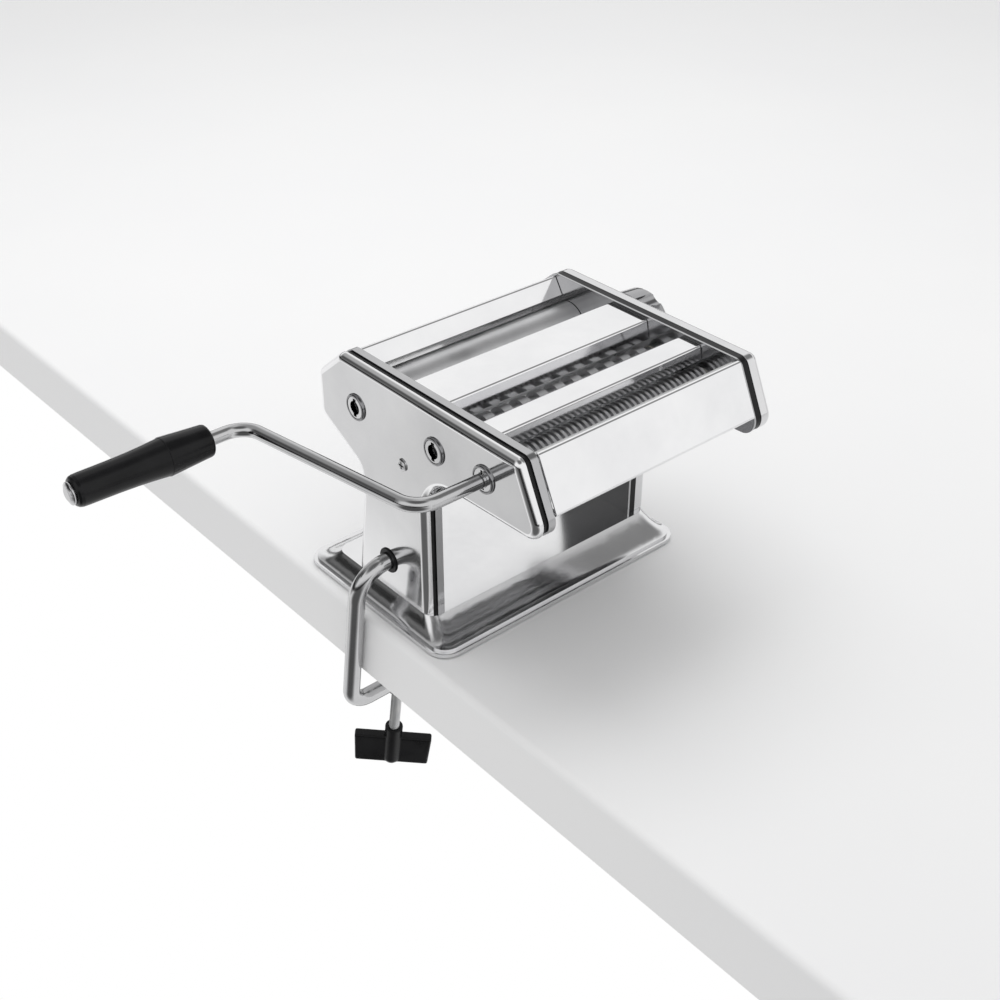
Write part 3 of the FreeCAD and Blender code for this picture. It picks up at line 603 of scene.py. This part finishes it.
def dial_marks():
    """Short filled marks on the dial plate, one for each stop."""
    g = Graph("dial_marks")
    count = g.size("Marks", mark_count, "NodeSocketInt")
    radius = g.size("Radius", mark_radius * mm)
    step = g.size("Step", math.radians(mark_sweep / (mark_count - 1)))
    index = g.node("GeometryNodeInputIndex")
    angle = g.node("ShaderNodeMath", {0: index.outputs[0], 1: step, 2: math.pi / 2},
                   operation="MULTIPLY_ADD")
    across = g.node("ShaderNodeMath", {0: angle.outputs[0]}, operation="COSINE")
    upward = g.node("ShaderNodeMath", {0: angle.outputs[0]}, operation="SINE")
    way = g.node("ShaderNodeCombineXYZ", {"X": across.outputs[0], "Y": upward.outputs[0]})
    spot = g.node("ShaderNodeVectorMath", {0: way.outputs[0], "Scale": radius}, operation="SCALE")
    points = g.node("GeometryNodePoints", {"Count": count, "Position": spot.outputs[0]})
    bar = g.node("GeometryNodeMeshCube", {"Size": Vector(mark_size) * mm})
    turn = g.node("ShaderNodeCombineXYZ", {"Z": angle.outputs[0]})
    facing = g.node("FunctionNodeEulerToRotation", {"Euler": turn.outputs[0]})
    copies = g.node("GeometryNodeInstanceOnPoints", {
        "Points": points.outputs[0], "Instance": bar.outputs["Mesh"], "Rotation": facing.outputs[0]})
    place = Vector((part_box("dial_plate")[1][0], dial_axis[0] * mm, dial_axis[1] * mm))
    placed = g.node("GeometryNodeTransform", {
        "Geometry": copies.outputs[0], "Translation": place, "Rotation": (math.pi / 2, 0.0, math.pi / 2)})
    piece = g.piece("dial_marks", placed.outputs[0], finish["black_plastic"])
    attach(piece, body_of_node["dial_plate"])


turned_grip()
socket_rings()
moulded_wing()
threaded_screw()
dial_marks()


# Stage, light and camera

def floor_slab():
    """Floor with a rounded edge on the crank's side, so that the clamp can reach below it."""
    half = [(slab_left, -slab_thick)]
    for k in range(slab_edge_steps + 1):
        angle = math.radians(180 - 90 * k / slab_edge_steps)
        half.append((slab_left + slab_edge * (1 + math.cos(angle)), slab_edge * (math.sin(angle) - 1)))
    half += [(slab_reach, 0.0), (slab_reach, -slab_thick)]
    bm = bmesh.new()
    front = [bm.verts.new((x, -slab_reach, z)) for x, z in half]
    face = bm.faces.new(front)
    grown = bmesh.ops.extrude_face_region(bm, geom=[face])["geom"]
    back = [g for g in grown if isinstance(g, bmesh.types.BMVert)]
    bmesh.ops.translate(bm, vec=(0, 2 * slab_reach, 0), verts=back)
    bmesh.ops.recalc_face_normals(bm, faces=bm.faces)
    mesh = bpy.data.meshes.new("floor_slab")
    bm.to_mesh(mesh)
    bm.free()
    mesh.shade_smooth()
    mesh.set_sharp_from_angle(angle=round_sharp)
    slab = link("floor_slab", mesh, pale_floor())
    weighted(slab)


def studio_world():
    """White studio; polished metal also sees its dark corners and a dark band round the horizon."""
    world = bpy.data.worlds.new("studio_white")
    bpy.context.scene.world = world
    world.use_nodes = True
    tree = world.node_tree
    back = tree.nodes["Background"]
    heading = tree.nodes.new("ShaderNodeTexCoord").outputs["Generated"]

    def math_node(operation, a, b):
        node = tree.nodes.new("ShaderNodeMath")
        node.operation = operation
        for socket, value in zip(node.inputs, (a, b)):
            if isinstance(value, float):
                socket.default_value = value
            else:
                tree.links.new(value, socket)
        return node.outputs["Value"]

    def ease(source, start, stop, low, high):
        node = tree.nodes.new("ShaderNodeMapRange")
        node.interpolation_type = "SMOOTHSTEP"
        for name, value in (("From Min", start), ("From Max", stop), ("To Min", low), ("To Max", high)):
            node.inputs[name].default_value = value
        tree.links.new(source, node.inputs["Value"])
        return node.outputs["Result"]

    def towards(direction):
        node = tree.nodes.new("ShaderNodeVectorMath")
        node.operation = "DOT_PRODUCT"
        node.inputs[1].default_value = Vector(direction).normalized()
        tree.links.new(heading, node.inputs[0])
        return node.outputs["Value"]

    height = math_node("ABSOLUTE", towards((0, 0, 1)), 0.0)
    band = ease(height, horizon_core, horizon_half, horizon_kept, 1.0)
    level = math_node("MAXIMUM", band, ease(towards(open_side), open_from, open_full, 0.0, 1.0))
    for direction, clear, full, kept in dark_patches.values():
        edge, core = (math.cos(math.radians(angle)) for angle in (clear, full))
        shade = ease(towards(direction), edge, core, 1.0, kept)
        level = math_node("MULTIPLY", level, shade)
    below = ease(towards((0, 0, 1)), low_full, low_from, low_studio, 1.0)
    level = math_node("MULTIPLY", level, below)

    path = tree.nodes.new("ShaderNodeLightPath")
    mirrored = math_node("MULTIPLY", level, path.outputs["Is Glossy Ray"])
    seen = math_node("ADD", mirrored, path.outputs["Is Camera Ray"])
    direct = math_node("ADD", path.outputs["Is Glossy Ray"], path.outputs["Is Camera Ray"])
    rest = math_node("SUBTRACT", 1.0, direct)
    total = math_node("ADD", seen, math_node("MULTIPLY", rest, world_level))
    back.inputs["Color"].default_value = (1.0, 1.0, 1.0, 1.0)
    tree.links.new(total, back.inputs["Strength"])


def key_light():
    """Soft light from above; polished metal mirrors the studio and not the lamp."""
    light = bpy.data.lights.new("overhead_softbox", "AREA")
    light.shape = "RECTANGLE"
    light.size, light.size_y = key_size
    light.energy = key_watts
    lamp = bpy.data.objects.new("overhead_softbox", light)
    lamp.visible_glossy = False
    lamp.location = key_place
    lamp.rotation_euler = (key_aim - key_place).to_track_quat("-Z", "Y").to_euler()
    bpy.context.scene.collection.objects.link(lamp)


def camera():
    """Camera that stands where the photograph was taken from."""
    data = bpy.data.cameras.new("camera")
    data.lens = camera_lens
    data.sensor_width = camera_sensor
    data.clip_start = 0.01
    eye = bpy.data.objects.new("camera", data)
    eye.location = camera_place
    eye.rotation_euler = (math.radians(90 - camera_down), 0.0, math.radians(-camera_turn))
    bpy.context.scene.collection.objects.link(eye)
    bpy.context.scene.camera = eye


floor_slab()
studio_world()
key_light()
camera()
bpy.context.scene.view_settings.view_transform = "Standard"
